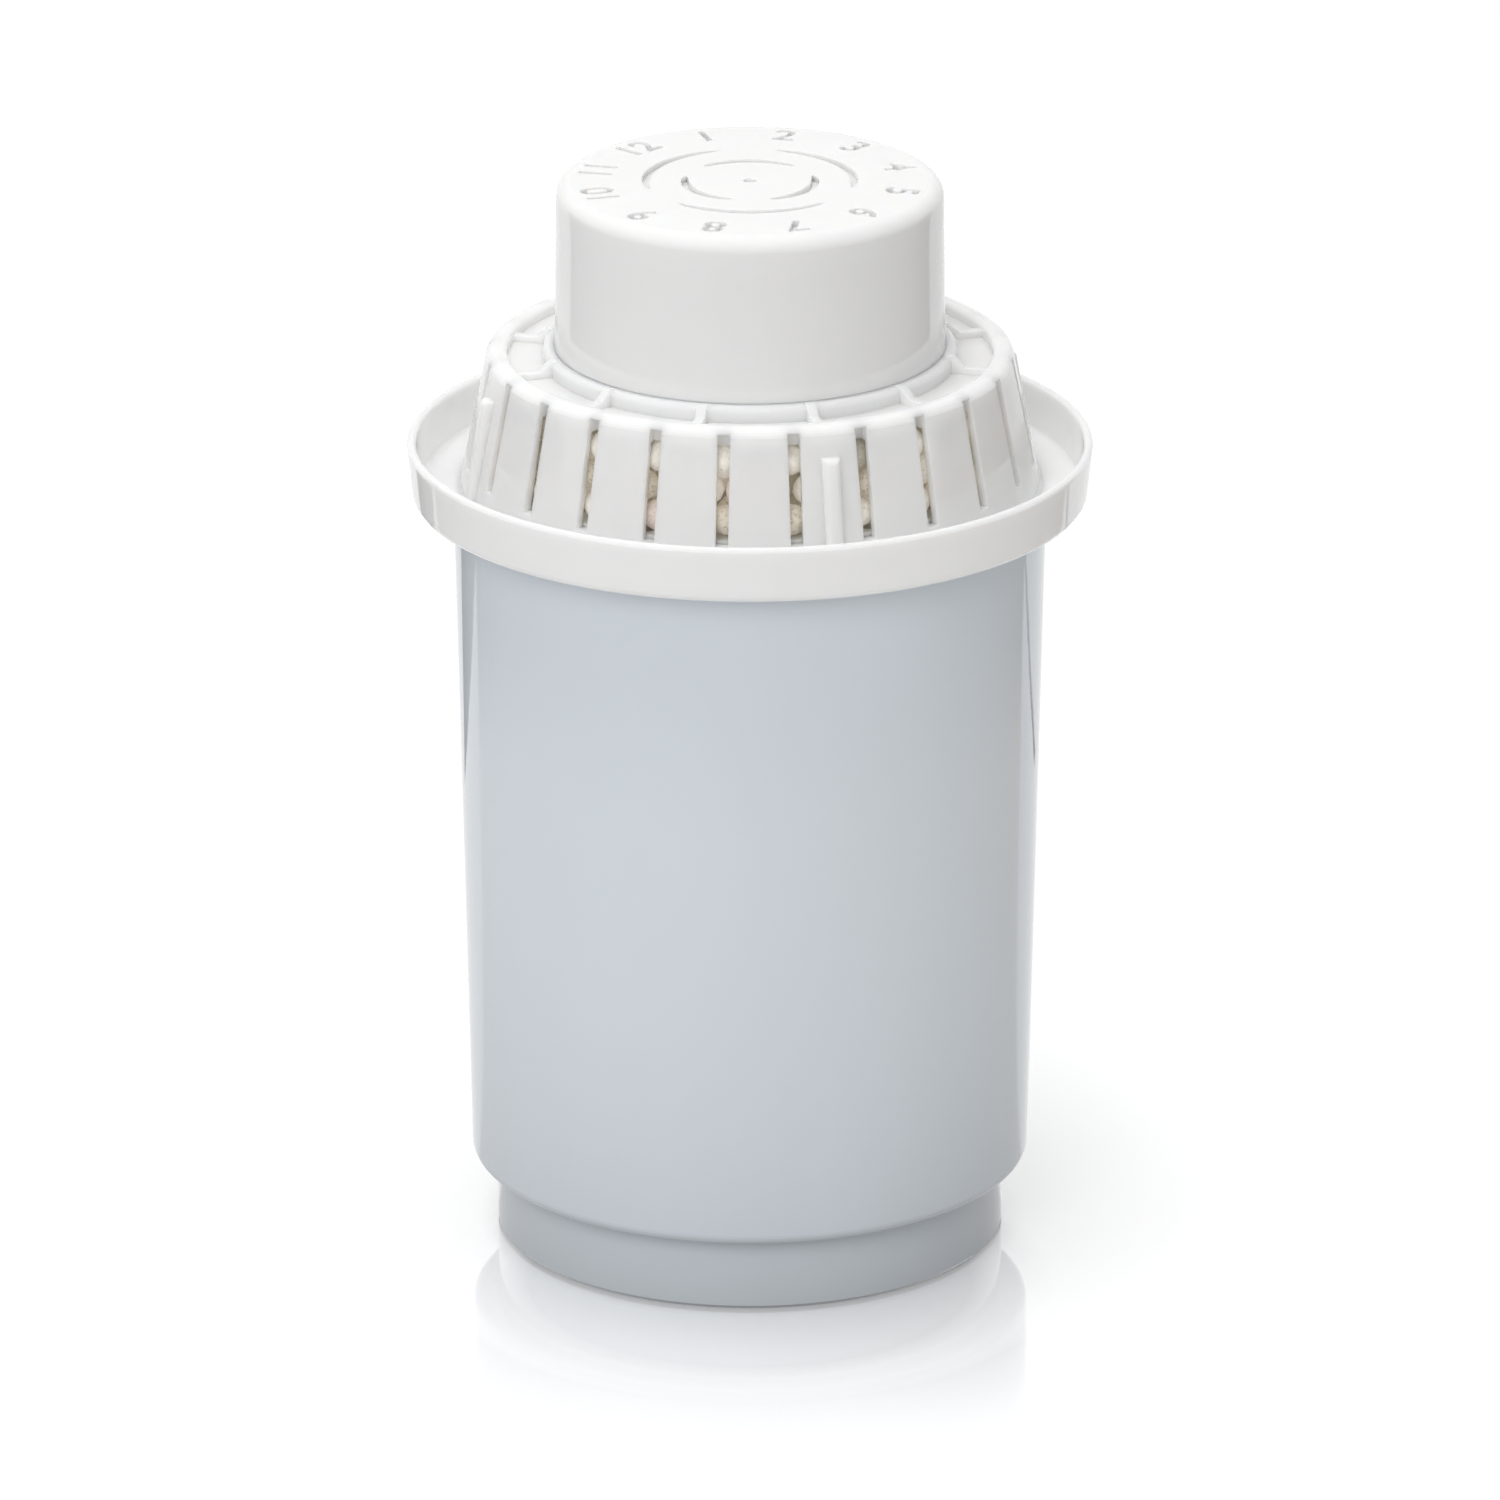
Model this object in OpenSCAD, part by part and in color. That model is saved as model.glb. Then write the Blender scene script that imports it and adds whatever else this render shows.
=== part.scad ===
// Replaceable water filter cartridge for a jug.
// The part stands on its outlet spigot: the origin is the centre of the foot, Z points up,
// and one of the four key ribs of the inlet cage points along -Y.

/* [Body shell] */
// Outside radius of the shell where the flange sits on it
body_top_r = 39; // [38:0.1:40]
// Outside radius of the shell just above its lower edge
body_foot_r = 37.1; // [36.2:0.1:38.4]
// Height of the shell from its lower edge to the flange
body_h = 91.9; // [60:0.1:120]
// Wall thickness of the shell
body_wall = 1.8; // [1.4:0.1:2]
// Rounding of the shell's lower edge
body_edge_r = 1.5; // [0.8:0.1:2]
// Outside radius of the outlet spigot
spigot_r = 33.7; // [31:0.1:34]
// Height of the outlet spigot below the shell's lower edge
spigot_h = 10.2; // [8:0.1:14]
// Chamfer round the spigot's foot
foot_chamfer = 0.5; // [0.3:0.1:0.8]
// Depth of the recess under the outlet grid
foot_recess = 1.5; // [1:0.1:2]
// Thickness of the outlet grid
grid_t = 1.6; // [1.2:0.1:2]

/* [Outlet grid] */
// Slots in the outer ring of the grid
grid_outer_slots = 32; // [24:1:36]
// Slots in the inner ring of the grid
grid_inner_slots = 16; // [10:1:18]
// Width of each outlet slot
grid_slot_w = 1.1; // [0.8:0.1:1.4]
// Radius where the inner ring of slots starts
grid_inner_from = 7; // [6:0.5:9]
// Radius where the inner ring of slots ends
grid_inner_to = 15.5; // [12:0.5:16]
// Radius where the outer ring of slots starts
grid_outer_from = 18; // [17.5:0.5:20]
// Radius where the outer ring of slots ends
grid_outer_to = 29; // [25:0.5:29.5]

/* [Flange dish] */
// Outside radius of the flange at its rim
dish_rim_r = 45; // [44:0.1:48]
// Outside radius of the flange at its lower edge
dish_foot_r = 44.4; // [43:0.1:45]
// Outside height of the flange
dish_h = 7.7; // [6:0.1:10]
// Wall thickness of the flange's rim
dish_wall = 1.2; // [1:0.1:1.6]
// Thickness of the flange's floor
dish_floor_t = 1.5; // [1.2:0.1:2]
// Rounding of the flange's lower edge
dish_edge_r = 1.2; // [0.8:0.1:1.5]
// Depth of the rebate under the flange that takes the shell's top
rebate_h = 0.4; // [0.2:0.1:0.6]

/* [Inlet cage] */
// Outside radius of the cage where it meets the flange's floor
cage_foot_r = 38; // [37.8:0.1:39]
// Outside radius of the cage at its top, before rounding
cage_top_r = 34.65; // [34.4:0.05:35.6]
// Height of the cage above the flange's floor
cage_h = 18.7; // [17:0.1:22]
// Wall thickness of the cage
cage_wall = 1.2; // [1:0.1:1.4]
// Radius of the inner edge of the cage's rounded top rim
rim_inner_r = 31.8; // [31.5:0.1:32]
// Rounding of the outer edge of the top rim
rim_outer_round = 1.5; // [0.8:0.1:1.6]
// Rounding of the inner edge of the top rim
rim_inner_round = 0.7; // [0.4:0.1:0.8]
// Fillets at the foot of the cage and inside the flange
cage_fillet = 0.8; // [0.4:0.1:1.2]
// Length of the plug that fits into the shell
plug_h = 6; // [4:0.1:10]
// Wall thickness of the plug
plug_wall = 1.2; // [1:0.1:1.3]

/* [Inlet slots] */
// Slots round the cage, which has to be a multiple of 4
slot_count = 24; // [16:4:32]
// Width of each slot
slot_w = 1.65; // [1:0.05:2]
// Height of the slots' lower ends above the flange's floor
slot_low = 3.7; // [3:0.1:4]
// Height of each slot
slot_h = 14.3; // [8:0.1:14.3]
// Thickness of the wall left between the slots' tops and the channel
slot_back = 1; // [0.8:0.1:1.2]

/* [Key ribs] */
// Key ribs round the outside of the cage
key_count = 4; // [2:2:4]
// Width of each key rib
key_w = 2.4; // [1.6:0.1:3]
// How far the key ribs stand out from the cage
key_proud = 1.1; // [0.8:0.1:2.5]
// Height of the key ribs above the flange's floor
key_h = 14.8; // [10:0.1:16]
// Rounding of each key rib's top corner
key_round = 0.9; // [0.4:0.1:1.5]
// Rounding of each key rib's long outer edges
key_edge_r = 0.8; // [0.3:0.1:1]

/* [Channel round the crown] */
// Depth of the channel below the cage's top
channel_depth = 1.5; // [1:0.1:2]
// Thickness of the roof under the channel
roof_t = 1.2; // [1:0.1:1.6]
// Radial ribs across the channel
channel_ribs = 12; // [4:4:24]
// Width of each radial rib
channel_rib_w = 1.3; // [1:0.1:2]
// Height of the radial ribs above the channel's floor
channel_rib_h = 0.9; // [0.5:0.1:0.9]
// Length of the gusset that ends each radial rib at the collar
gusset_l = 1.5; // [1:0.1:2]
// Height that the gussets stand above the collar
gusset_rise = 0.2; // [0.1:0.1:0.5]
// Height of the collar above the channel's floor
collar_h = 2.1; // [1.5:0.1:3]
// Wall thickness of the collar
collar_wall = 1.5; // [1:0.1:2]
// Rounding of the collar's outer top edge
collar_round = 0.8; // [0.4:0.1:0.9]

/* [Crown cap] */
// Outside radius of the crown at its top edge, before rounding
crown_top_r = 25.3; // [24.8:0.1:25.6]
// Outside radius of the crown at its foot
crown_foot_r = 25.6; // [25.4:0.1:26]
// Height of the crown above the channel's floor
crown_h = 24.3; // [15:0.1:40]
// Wall thickness of the crown
crown_wall = 1.6; // [1.4:0.1:1.8]
// Thickness of the crown's top
crown_top_t = 2; // [1.6:0.1:3]
// Rounding of the crown's top edge
crown_edge_r = 2.1; // [1:0.1:3]
// Step from the crown's foot in to its skirt
skirt_step = 0.8; // [0.7:0.05:1]
// Wall thickness of the skirt
skirt_wall = 1.2; // [1:0.1:1.4]
// Height that the skirt's snap bead stands out
snap_h = 0.3; // [0.2:0.05:0.35]
// Length of the slope that leads onto the snap bead
snap_lead = 0.6; // [0.4:0.1:1]

/* [Grooves in the crown] */
// Width of the arc grooves
groove_w = 1.3; // [0.8:0.1:2]
// Depth of the arc grooves
groove_depth = 0.8; // [0.3:0.1:1]
// Radius of the inner ring of grooves
groove_inner_r = 8.5; // [6:0.1:10]
// Radius of the outer ring of grooves
groove_outer_r = 13.6; // [12:0.1:16]
// Grooves in each ring
groove_count = 3; // [2:1:5]
// Share of each ring that is grooved
groove_share = 0.74; // [0.4:0.02:0.86]
// Radius of the gate mark in the middle
gate_r = 0.9; // [0.5:0.1:1.5]
// Depth of the gate mark
gate_depth = 0.4; // [0.2:0.1:0.8]

/* [Filling] */
// Diameter of the mineral balls
ball_d = 4; // [3.6:0.05:4.05]
// Clearance between neighbouring balls
ball_gap = 0.15; // [0.1:0.01:0.2]
// Rise from one layer of balls to the next, as a share of a ball's diameter
layer_share = 0.94; // [0.93:0.01:1]
// Thickness of the tray that carries the balls
tray_t = 1.4; // [1:0.1:2]
// Height of the tray's top above the slots' lower ends
tray_lip = 0.4; // [0:0.1:0.6]
// Water slots through the tray
tray_slots = 36; // [24:1:40]
// Width of the tray's slots
tray_slot_w = 1.6; // [1:0.1:2]
// Width of the closed border inside and outside the tray's slots
tray_border = 2; // [1.5:0.1:2.5]
// Thickness of the felt under the tray
upper_felt_t = 2.4; // [1:0.1:3]
// Height of the carbon bed
carbon_h = 44; // [20:0.5:46]
// Thickness of the felt between the beds
middle_felt_t = 2.4; // [1:0.1:4]
// Thickness of the felt on the outlet grid
outlet_felt_t = 4; // [2:0.1:5]
// Thickness of the mesh on the outlet grid
mesh_t = 0.4; // [0.3:0.1:0.8]

/* [Clearances] */
// Clearance between the plug and the shell
plug_gap = 0.1; // [0.05:0.01:0.15]
// Clearance round the shell's top in the flange's rebate
rebate_gap = 0.05; // [0.02:0.01:0.1]
// Clearance between the crown and the cage's collar
collar_gap = 0.06; // [0.05:0.01:0.15]
// Clearance between the crown's skirt and the cage's roof
skirt_gap = 0.15; // [0.1:0.01:0.2]
// Clearance of the tray, felts, mesh and beds from the walls round them
filling_gap = 0.15; // [0.1:0.01:0.2]
// Clearance of the balls from the walls round them
wall_gap = 0.1; // [0.05:0.01:0.15]

/* [Hidden] */
$fn = 96;
cut = 0.01; // how far a cutter runs past a face
sink = 0.3; // how far a rib is rooted in the wall that carries it
groove_steps = 16; // straight pieces along each side of an arc groove
groove_taper = 0.4; // how bluntly an arc groove runs out, 0 for not at all
// Heights, from the foot up
seat_z = spigot_h + body_h;
shell_top_z = seat_z + rebate_h;
trough_z = seat_z + dish_floor_t;
dish_rim_z = seat_z + dish_h;
cage_top_z = trough_z + cage_h;
channel_z = cage_top_z - channel_depth;
roof_z = channel_z - roof_t;
collar_z = channel_z + collar_h;
crown_z = channel_z + crown_h;
slot_z = trough_z + slot_low;
tray_z = slot_z + tray_lip;
grid_z = foot_recess + grid_t;
shelf_z = spigot_h + body_wall;
snap_z = roof_z - 2 * snap_h;
plug_z = seat_z - plug_h;
// Radii of what fits together
spigot_bore_r = spigot_r - body_wall;
collar_bore_r = crown_foot_r + collar_gap;
collar_r = collar_bore_r + collar_wall;
skirt_r = crown_foot_r - skirt_step;
roof_bore_r = skirt_r + skirt_gap;
plug_bore_r = body_r(seat_z) - body_wall - plug_gap - plug_wall;
disc_r = plug_bore_r - filling_gap;
outlet_disc_r = spigot_bore_r - filling_gap;
// The stack of the filling, from the grid up
outlet_felt_z = grid_z + mesh_t;
resin_z = outlet_felt_z + outlet_felt_t;
upper_felt_z = tray_z - tray_t - upper_felt_t;
carbon_z = upper_felt_z - carbon_h;
middle_felt_z = carbon_z - middle_felt_t;
// Rings of balls between the crown's skirt and the cage
layer_h = ball_d * layer_share;
ball_layers = floor((roof_z - tray_z - ball_d - wall_gap) / layer_h) + 1;
cage_slope = atan((cage_foot_r - cage_top_r) / cage_h);
ball_rings = 2;
ring_counts = [for (ring = [0:ball_rings - 1])
    floor(360 / (2 * asin((ball_d + ball_gap) / 2 / ball_ring_r(ring, ball_layers - 1))))];
ball_seed = 7;
layer_count = ring_counts[0] + ring_counts[1]; // balls in one layer
ball_picks = rands(0, 1, ball_layers * layer_count, ball_seed);
// Each kind of ball fills the share of the picks between its own limit and the one before
kind_limits = [0, 0.34, 0.58, 0.7, 0.88, 1];

// Outside radius of the drafted shell at a height
function body_r(z) = body_foot_r + (body_top_r - body_foot_r) * (z - spigot_h) / body_h;
// Outside radius of the cage's cone at a height
function cage_r(z) = cage_foot_r + (cage_top_r - cage_foot_r) * (z - trough_z) / cage_h;
// Outside radius of the flange's rim at a height
function dish_r(z) = dish_foot_r + (dish_rim_r - dish_foot_r) * (z - seat_z) / dish_h;
// Points of an arc round a centre
function arc(centre, r, from, to, steps = 6) =
    [for (i = [0:steps]) centre + r * [cos(from + (to - from) * i / steps), sin(from + (to - from) * i / steps)]];
// Middle height of a layer of balls, and radius of a ring of them
function ball_z(layer) = tray_z + wall_gap + ball_d / 2 + layer * layer_h;
function ball_ring_r(ring, layer) =
    cage_r(ball_z(layer)) - cage_wall - (ball_d / 2) / cos(cage_slope) - wall_gap - ring * (ball_d + ball_gap);

// Copies its children round the Z axis, starting from -Y
module around(count, first = 0) {
    for (i = [0:count - 1])
        rotate([0, 0, first + i * 360 / count - 90]) children();
}

// A bar along +X between two radii, resting on a height
module radial_bar(span, width, z, height) {
    translate([span[0], -width / 2, z]) cube([span[1] - span[0], width, height]);
}

// The cup: drafted wall, rounded lower edge, outlet spigot and slotted grid, in one moulding
module body_shell() {
    edge = [body_foot_r - body_edge_r, spigot_h + body_edge_r];
    inner_foot_r = body_r(shelf_z) - body_wall;
    color([0.75, 0.79, 0.82]) difference() {
        rotate_extrude() polygon(concat(
            [
                [spigot_bore_r, 0],
                [spigot_r - foot_chamfer, 0],
                [spigot_r, foot_chamfer],
                [spigot_r, spigot_h],
            ],
            arc(edge, body_edge_r, -90, 0),
            [
                [body_r(shell_top_z), shell_top_z],
                [body_r(shell_top_z) - body_wall, shell_top_z],
            ],
            arc([inner_foot_r - body_edge_r, shelf_z + body_edge_r], body_edge_r, 0, -90),
            [
                [spigot_bore_r, shelf_z],
                [spigot_bore_r, grid_z],
                [0, grid_z],
                [0, foot_recess],
                [spigot_bore_r, foot_recess],
            ]
        ));
        outlet_slots(grid_inner_slots, [grid_inner_from, grid_inner_to]);
        outlet_slots(grid_outer_slots, [grid_outer_from, grid_outer_to]);
    }
}

// One ring of outlet slots with round ends
module outlet_slots(count, span) {
    around(count) {
        radial_bar(span, grid_slot_w, foot_recess - cut, grid_t + 2 * cut);
        for (r = span)
            translate([r, 0, foot_recess - cut]) cylinder(d = grid_slot_w, h = grid_t + 2 * cut);
    }
}

// The slotted cage, its channel and collar, the flange dish and the plug, in one moulding
module inlet_cage() {
    half_slot = 180 / slot_count;
    color([0.95, 0.95, 0.95]) {
        difference() {
            cage_wall_turned();
            around(slot_count, half_slot)
                radial_bar([rim_inner_r + slot_back, cage_foot_r + cage_fillet], slot_w, slot_z, slot_h);
        }
        around(channel_ribs) channel_rib();
        around(key_count) key_rib();
    }
}

// Everything of the inlet moulding that is round
module cage_wall_turned() {
    dish_inner_r = dish_r(trough_z + cage_fillet) - dish_wall;
    top_inner_r = cage_r(roof_z) - cage_wall;
    rotate_extrude() polygon(concat(
        [
            [plug_bore_r, plug_z],
            [plug_r(plug_z), plug_z],
            [plug_r(shell_top_z), shell_top_z],
            [body_r(shell_top_z) + rebate_gap, shell_top_z],
            [body_r(shell_top_z) + rebate_gap, seat_z],
        ],
        arc([dish_foot_r - dish_edge_r, seat_z + dish_edge_r], dish_edge_r, -90, 0),
        arc([dish_rim_r - dish_wall / 2, dish_rim_z - dish_wall / 2], dish_wall / 2, 0, 180),
        arc([dish_inner_r - cage_fillet, trough_z + cage_fillet], cage_fillet, 0, -90),
        arc([cage_foot_r + cage_fillet, trough_z + cage_fillet], cage_fillet, -90, -180),
        arc([cage_top_r - rim_outer_round, cage_top_z - rim_outer_round], rim_outer_round, 0, 90),
        arc([rim_inner_r + rim_inner_round, cage_top_z - rim_inner_round], rim_inner_round, 90, 180),
        [
            [rim_inner_r, channel_z],
            [collar_r, channel_z],
        ],
        arc([collar_r - collar_round, collar_z - collar_round], collar_round, 0, 90),
        [
            [collar_bore_r, collar_z],
            [collar_bore_r, channel_z],
            [roof_bore_r, channel_z],
            [roof_bore_r, roof_z],
            [top_inner_r, roof_z],
            [cage_r(tray_z) - cage_wall, tray_z],
            [plug_bore_r, tray_z],
        ]
    ));
}

// Outside radius of the plug at a height, which follows the shell's draft
function plug_r(z) = body_r(z) - body_wall - plug_gap;

// One key rib along +X: it follows the cage's slope and its outer edges are rounded
module key_rib() {
    top_z = trough_z + key_h;
    round_z = top_z - key_round;
    front = key_proud * cos(cage_slope);
    side = key_w / 2;
    intersection() {
        rotate([90, 0, 0]) linear_extrude(key_w + 2 * cut, center = true) polygon(concat(
            [
                [cage_foot_r - cage_wall / 2, trough_z - sink],
                [cage_r(trough_z - sink) + key_proud, trough_z - sink],
            ],
            arc([cage_r(round_z) + key_proud - key_round / cos(cage_slope), round_z], key_round, cage_slope, 90),
            [[cage_r(top_z) - cage_wall / 2, top_z]]
        ));
        translate([cage_foot_r, 0, trough_z]) rotate([0, -cage_slope, 0])
            translate([0, 0, -key_h / 2]) linear_extrude(2 * key_h) polygon(concat(
                [[-2 * cage_wall, -side]],
                arc([front - key_edge_r, key_edge_r - side], key_edge_r, -90, 0),
                arc([front - key_edge_r, side - key_edge_r], key_edge_r, 0, 90),
                [[-2 * cage_wall, side]]
            ));
    }
}

// One rib along +X across the channel, with a gusset that ends it at the collar
module channel_rib() {
    rib_z = channel_z + channel_rib_h;
    rotate([90, 0, 0]) linear_extrude(channel_rib_w, center = true) polygon([
        [collar_r - collar_wall / 2, channel_z - sink],
        [rim_inner_r + sink, channel_z - sink],
        [rim_inner_r + sink, rib_z],
        [collar_r + gusset_l, rib_z],
        [collar_r, collar_z + gusset_rise],
        [collar_r - collar_wall / 2, collar_z + gusset_rise],
    ]);
}

// The crown: a cup with arc grooves in its top and a skirt that snaps through the roof
module crown_cap() {
    color([0.96, 0.96, 0.96]) difference() {
        rotate_extrude() polygon(concat(
            [
                [skirt_r - skirt_wall, tray_z],
                [skirt_r, tray_z],
                [skirt_r, snap_z - snap_lead],
                [skirt_r + snap_h, snap_z],
                [skirt_r, snap_z + snap_h],
                [skirt_r, channel_z],
                [crown_foot_r, channel_z],
            ],
            arc([crown_top_r - crown_edge_r, crown_z - crown_edge_r], crown_edge_r, 0, 90),
            [
                [0, crown_z],
                [0, crown_z - crown_top_t],
                [crown_top_r - crown_wall, crown_z - crown_top_t],
                [crown_foot_r - crown_wall, collar_z],
                [skirt_r - skirt_wall, channel_z],
            ]
        ));
        arc_grooves(groove_inner_r, 0);
        arc_grooves(groove_outer_r, 180 / groove_count);
        translate([0, 0, crown_z - gate_depth]) cylinder(r = gate_r, h = gate_depth + cut);
    }
}

// A ring of arc grooves that taper to a point at both ends
module arc_grooves(r, first) {
    sweep = 360 / groove_count * groove_share;
    around(groove_count, first)
        translate([0, 0, crown_z - groove_depth]) linear_extrude(groove_depth + cut)
            polygon(concat(groove_side(r, sweep, 1), groove_side(r, -sweep, -1)));
}

// One side of a tapered arc: side is 1 for its outer edge, and -1 for the inner edge run backwards
function groove_side(r, sweep, side) = [for (i = [0:groove_steps - 1])
    let(t = i / groove_steps, half_w = groove_w / 2 * pow(sin(180 * t), groove_taper),
        turn = side > 0 ? sweep * t : -sweep * (1 - t))
    (r + side * half_w) * [cos(turn), sin(turn)]];

// The slotted tray that carries the balls and the crown's skirt
module ball_tray() {
    span = [skirt_r + tray_border, disc_r - tray_border];
    color([0.93, 0.93, 0.92]) difference() {
        translate([0, 0, tray_z - tray_t]) cylinder(r = disc_r, h = tray_t);
        around(tray_slots) {
            radial_bar(span, tray_slot_w, tray_z - tray_t - cut, tray_t + 2 * cut);
            for (r = span)
                translate([r, 0, tray_z - tray_t - cut]) cylinder(d = tray_slot_w, h = tray_t + 2 * cut);
        }
    }
}

// The balls of one kind, wherever the draw puts them in the staggered rings
module balls(kind) {
    for (layer = [0:ball_layers - 1], ring = [0:ball_rings - 1], i = [0:ring_counts[ring] - 1]) {
        place = layer * layer_count + ring * ring_counts[0] + i;
        pick = ball_picks[place];
        turn = (i + layer / 2) * 360 / ring_counts[ring];
        if (pick >= kind_limits[kind] && pick < kind_limits[kind + 1])
            rotate([0, 0, turn]) translate([ball_ring_r(ring, layer), 0, ball_z(layer)]) sphere(d = ball_d);
    }
}

module cream_balls() {
    color([0.87, 0.83, 0.72]) balls(0);
}

module tan_balls() {
    color([0.74, 0.66, 0.52]) balls(1);
}

module pink_balls() {
    color([0.78, 0.66, 0.6]) balls(2);
}

module grey_balls() {
    color([0.52, 0.5, 0.45]) balls(3);
}

module green_balls() {
    color([0.62, 0.65, 0.54]) balls(4);
}

// A round felt or mesh disc on a height
module disc(r, z, thickness) {
    translate([0, 0, z]) cylinder(r = r, h = thickness);
}

module upper_felt() {
    color([0.9, 0.9, 0.87]) disc(disc_r, upper_felt_z, upper_felt_t);
}

// The carbon: a wide bed in the shell with a narrower top inside the plug
module carbon_bed() {
    color([0.12, 0.12, 0.13]) rotate_extrude() polygon([
        [0, carbon_z],
        [bed_r(carbon_z), carbon_z],
        [bed_r(plug_z - filling_gap), plug_z - filling_gap],
        [disc_r, plug_z - filling_gap],
        [disc_r, upper_felt_z],
        [0, upper_felt_z],
    ]);
}

// Radius of what fills the drafted shell, at a height
function bed_r(z) = body_r(z) - body_wall - filling_gap;

module middle_felt() {
    color([0.9, 0.9, 0.87]) disc(bed_r(middle_felt_z), middle_felt_z, middle_felt_t);
}

// The ion exchange resin: it fills the spigot above the outlet felt and the shell above its shelf
module resin_bed() {
    shelf = shelf_z + filling_gap;
    inner_r = bed_r(shelf);
    color([0.8, 0.62, 0.3]) rotate_extrude() polygon(concat(
        [
            [0, resin_z],
            [outlet_disc_r, resin_z],
            [outlet_disc_r, shelf],
        ],
        arc([inner_r - body_edge_r, shelf + body_edge_r], body_edge_r, -90, 0),
        [
            [bed_r(middle_felt_z), middle_felt_z],
            [0, middle_felt_z],
        ]
    ));
}

module outlet_felt() {
    color([0.9, 0.9, 0.87]) disc(outlet_disc_r, outlet_felt_z, outlet_felt_t);
}

module outlet_mesh() {
    color([0.8, 0.82, 0.84]) disc(outlet_disc_r, grid_z, mesh_t);
}

body_shell();
inlet_cage();
crown_cap();
ball_tray();
cream_balls();
tan_balls();
pink_balls();
grey_balls();
green_balls();
upper_felt();
carbon_bed();
middle_felt();
resin_bed();
outlet_felt();
outlet_mesh();
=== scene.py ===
"""Looks of a drop-in water filter cartridge: its finishes, numbers, mineral balls and studio."""
import math

import bmesh
import bpy
from bpy.props import FloatProperty, FloatVectorProperty, IntProperty, PointerProperty
from mathutils import Matrix, Vector


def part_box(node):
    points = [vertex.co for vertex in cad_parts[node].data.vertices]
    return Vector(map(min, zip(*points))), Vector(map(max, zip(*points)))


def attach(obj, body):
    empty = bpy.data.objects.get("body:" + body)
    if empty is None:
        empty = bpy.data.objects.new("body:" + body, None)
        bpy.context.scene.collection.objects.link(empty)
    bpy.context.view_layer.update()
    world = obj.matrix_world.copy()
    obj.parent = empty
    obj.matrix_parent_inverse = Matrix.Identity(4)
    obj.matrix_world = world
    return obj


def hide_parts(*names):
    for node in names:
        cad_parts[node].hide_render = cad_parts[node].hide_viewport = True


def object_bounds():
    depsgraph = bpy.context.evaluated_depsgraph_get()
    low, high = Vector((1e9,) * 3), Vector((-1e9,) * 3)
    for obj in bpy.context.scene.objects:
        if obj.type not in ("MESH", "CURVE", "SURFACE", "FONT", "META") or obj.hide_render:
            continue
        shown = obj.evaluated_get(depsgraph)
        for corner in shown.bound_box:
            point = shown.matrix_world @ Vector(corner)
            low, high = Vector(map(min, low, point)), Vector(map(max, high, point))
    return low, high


bl_info = {
    "name": "Jug filter cartridge",
    "version": (1, 0, 0),
    "blender": (4, 5, 0),
    "location": "3D View > Sidebar > Cartridge",
    "description": "Dresses a filter cartridge's casing, crown, balls and filling, and sets its studio",
    "category": "Object",
}

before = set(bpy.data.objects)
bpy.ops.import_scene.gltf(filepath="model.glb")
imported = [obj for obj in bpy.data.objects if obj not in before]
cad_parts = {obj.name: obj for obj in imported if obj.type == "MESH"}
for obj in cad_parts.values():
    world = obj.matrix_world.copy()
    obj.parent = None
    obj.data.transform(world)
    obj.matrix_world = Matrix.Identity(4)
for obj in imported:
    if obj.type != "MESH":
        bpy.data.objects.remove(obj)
CAD_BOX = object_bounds()
MM = 0.001
WHITE = (1, 1, 1, 1)
# Corners closer than this are one corner
MERGE_DISTANCE = 1e-6
# How much of the white colour the white mouldings keep
WHITE_SHARE = 0.955
# How far light spreads below the surface of the cage and of the crown
CAGE_GLOW_DEPTH = 2.5 * MM
CROWN_GLOW_DEPTH = 0.8 * MM
# How much of its colour a sunk floor of the crown keeps under its painted shade
SUNK_SHADE_SHARE = 0.93


# Settings

class CasingSettings(bpy.types.PropertyGroup):
    """Colours and gloss of the moulded casing"""

    shell_colour: FloatVectorProperty(
        name="Shell colour", description="Colour of the tapered shell",
        subtype="COLOR", size=3, min=0, max=1, default=(0.725, 0.777, 0.828))
    white_colour: FloatVectorProperty(
        name="White colour", description="Colour of the cage and the crown",
        subtype="COLOR", size=3, min=0, max=1, default=(0.9, 0.9, 0.895))
    tray_colour: FloatVectorProperty(
        name="Tray colour", description="Colour of the tray under the balls",
        subtype="COLOR", size=3, min=0, max=1, default=(0.75, 0.75, 0.72))
    gloss_roughness: FloatProperty(
        name="Gloss roughness", description="Roughness of the moulded surfaces",
        subtype="FACTOR", min=0.02, max=1, default=0.05)


class NumeralSettings(bpy.types.PropertyGroup):
    """Ring of numbers sunk into the crown"""

    count: IntProperty(
        name="Count", description="How many numbers stand round the crown", min=4, max=24, default=12)
    radius: FloatProperty(
        name="Radius", description="Distance from the crown's axis to the middle of a number",
        subtype="DISTANCE", unit="LENGTH", min=0.015, max=0.022, default=0.0201)
    height: FloatProperty(
        name="Height", description="Size of the numbers",
        subtype="DISTANCE", unit="LENGTH", min=0.002, max=0.007, default=0.006)
    depth: FloatProperty(
        name="Depth", description="Depth of the numbers below the crown's top",
        subtype="DISTANCE", unit="LENGTH", min=0.0002, max=0.001, default=0.0008)
    weight: FloatProperty(
        name="Stroke", description="How far the strokes of the numbers are thickened on each side",
        subtype="DISTANCE", unit="LENGTH", min=0, max=0.0004, default=0.00012)


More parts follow.
